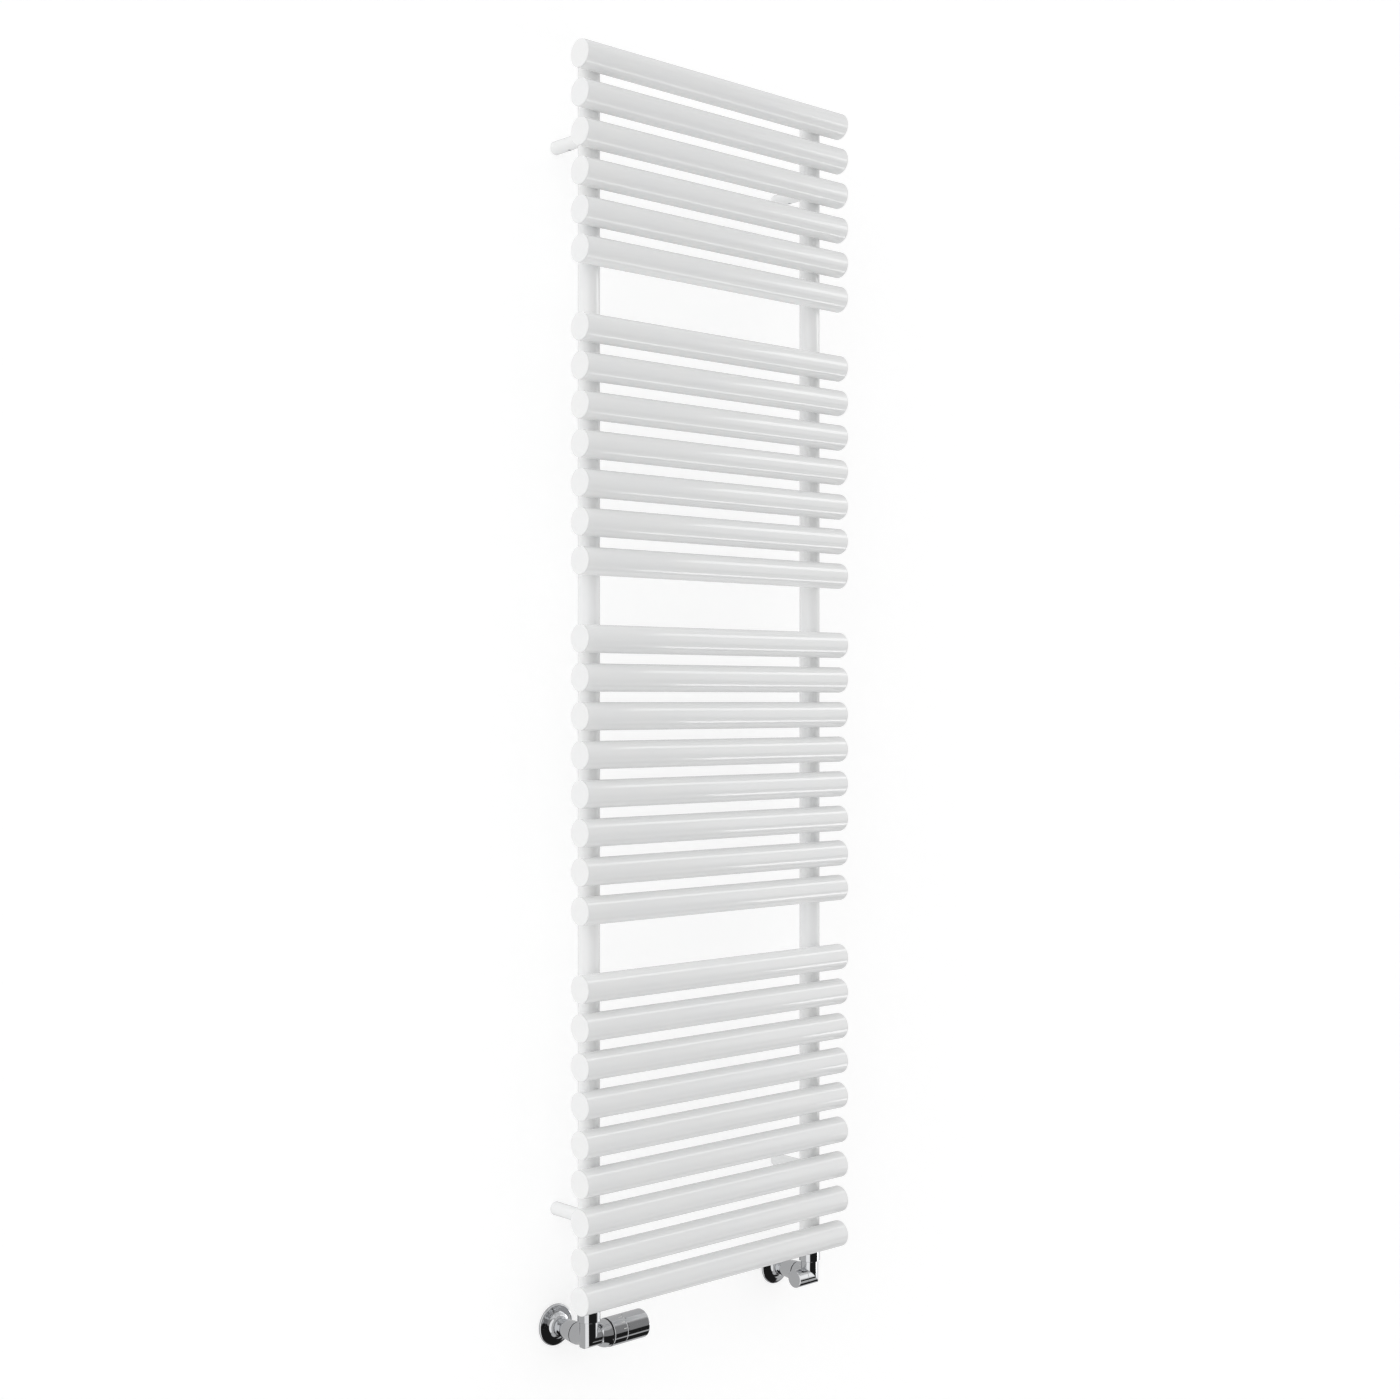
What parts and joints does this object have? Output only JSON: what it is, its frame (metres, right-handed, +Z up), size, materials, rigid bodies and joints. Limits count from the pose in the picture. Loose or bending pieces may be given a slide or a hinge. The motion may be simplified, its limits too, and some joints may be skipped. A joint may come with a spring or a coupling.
{
  "type": "radiator with valve",
  "caption": "Tall wall-hung tubular bathroom radiator with round cross tubes in front of its collectors, a thermostatic valve and a lockshield valve at its feet.",
  "frame": {"origin": "on the wall plane, in the middle of the four bracket fixings", "axes": "+Z up along the collectors, +X to the right along the tubes, +Y into the wall; the tubes face -Y"},
  "size_m": [0.5, 0.119, 1.7798],
  "materials": {
    "white_powder_coat": "satin gloss white powder coat on steel",
    "polished_chrome": "mirror-polished chrome plate on brass",
    "zinc_plated_steel": "zinc plated",
    "spring_steel": "drawn wire",
    "nickel_plated_brass": "nickel plate, satin",
    "brass": "turned",
    "black_rubber": "matt",
    "white_plastic": "moulded",
    "aluminium": "turned"
  },
  "bodies": {
    "radiator": {"tube_01": "white_powder_coat", "tube_02": "white_powder_coat", "tube_03": "white_powder_coat", "tube_04": "white_powder_coat", "tube_05": "white_powder_coat", "tube_06": "white_powder_coat", "tube_07": "white_powder_coat", "tube_08": "white_powder_coat", "tube_09": "white_powder_coat", "tube_10": "white_powder_coat", "tube_11": "white_powder_coat", "tube_12": "white_powder_coat", "tube_13": "white_powder_coat", "tube_14": "white_powder_coat", "tube_15": "white_powder_coat", "tube_16": "white_powder_coat", "tube_17": "white_powder_coat", "tube_18": "white_powder_coat", "tube_19": "white_powder_coat", "tube_20": "white_powder_coat", "tube_21": "white_powder_coat", "tube_22": "white_powder_coat", "tube_23": "white_powder_coat", "tube_24": "white_powder_coat", "tube_25": "white_powder_coat", "tube_26": "white_powder_coat", "tube_27": "white_powder_coat", "tube_28": "white_powder_coat", "tube_29": "white_powder_coat", "tube_30": "white_powder_coat", "tube_end_caps": "white_powder_coat", "left_collector": "white_powder_coat", "right_collector": "white_powder_coat", "bracket_sleeves": "white_powder_coat", "bracket_studs": "zinc_plated_steel", "bracket_wall_discs": "zinc_plated_steel", "bracket_grub_screws": "zinc_plated_steel", "collector_bosses": "zinc_plated_steel", "return_spring": "spring_steel", "air_vent_plug": "nickel_plated_brass", "blanking_plug": "nickel_plated_brass", "union_tails": "nickel_plated_brass", "compression_nuts": "nickel_plated_brass", "thermostatic_insert": "brass", "lockshield_insert": "brass", "thermostatic_valve_body": "polished_chrome", "lockshield_valve_body": "polished_chrome", "union_nuts": "polished_chrome", "pipe_sleeves": "polished_chrome", "rosettes": "polished_chrome", "head_collar": "polished_chrome", "shadow_rings": "black_rubber", "head_base": "white_plastic"},
    "handle": {"head_handle": "polished_chrome"},
    "pin_and_sensor": {"valve_pin": "nickel_plated_brass", "sensor_capsule": "aluminium"},
    "bleed_screw": {"bleed_screw": "nickel_plated_brass"},
    "lockshield_spindle": {"lockshield_spindle": "brass"},
    "lockshield_disc": {"lockshield_disc": "brass"},
    "lockshield_cap": {"lockshield_cap": "polished_chrome"}
  },
  "joints": [
    {"name": "handle_turn", "type": "hinge", "parent": "radiator", "child": "handle", "pos_m": [-0.2125, -0.074, -0.8935], "axis": [1, 0, 0], "range_deg": [-150, 150]},
    {"name": "pin_slide", "type": "slide", "parent": "radiator", "child": "pin_and_sensor", "axis": [1, 0, 0], "range_m": [-0.0012, 0.0012]},
    {"name": "bleed_screw_turn", "type": "hinge", "parent": "radiator", "child": "bleed_screw", "pos_m": [0.2125, -0.074, 0.854], "axis": [0, 0, 1], "range_deg": [0, 360]},
    {"name": "lockshield_turn", "type": "hinge", "parent": "radiator", "child": "lockshield_spindle", "pos_m": [0.2125, -0.074, -0.8935], "axis": [1, 0, 0], "range_deg": [0, 1044]},
    {"name": "lockshield_disc_slide", "type": "slide", "parent": "radiator", "child": "lockshield_disc", "axis": [1, 0, 0], "range_m": [0, 0.0029]},
    {"name": "lockshield_cap_slide", "type": "slide", "parent": "radiator", "child": "lockshield_cap", "axis": [-1, 0, 0], "range_m": [0, 0.018]}
  ],
  "couplings": [
    {"joint": "pin_slide", "follows": "handle_turn", "m_per_rad": 0.000458},
    {"joint": "lockshield_turn", "follows": "lockshield_disc_slide", "rad_per_m": 6283.2}
  ]
}
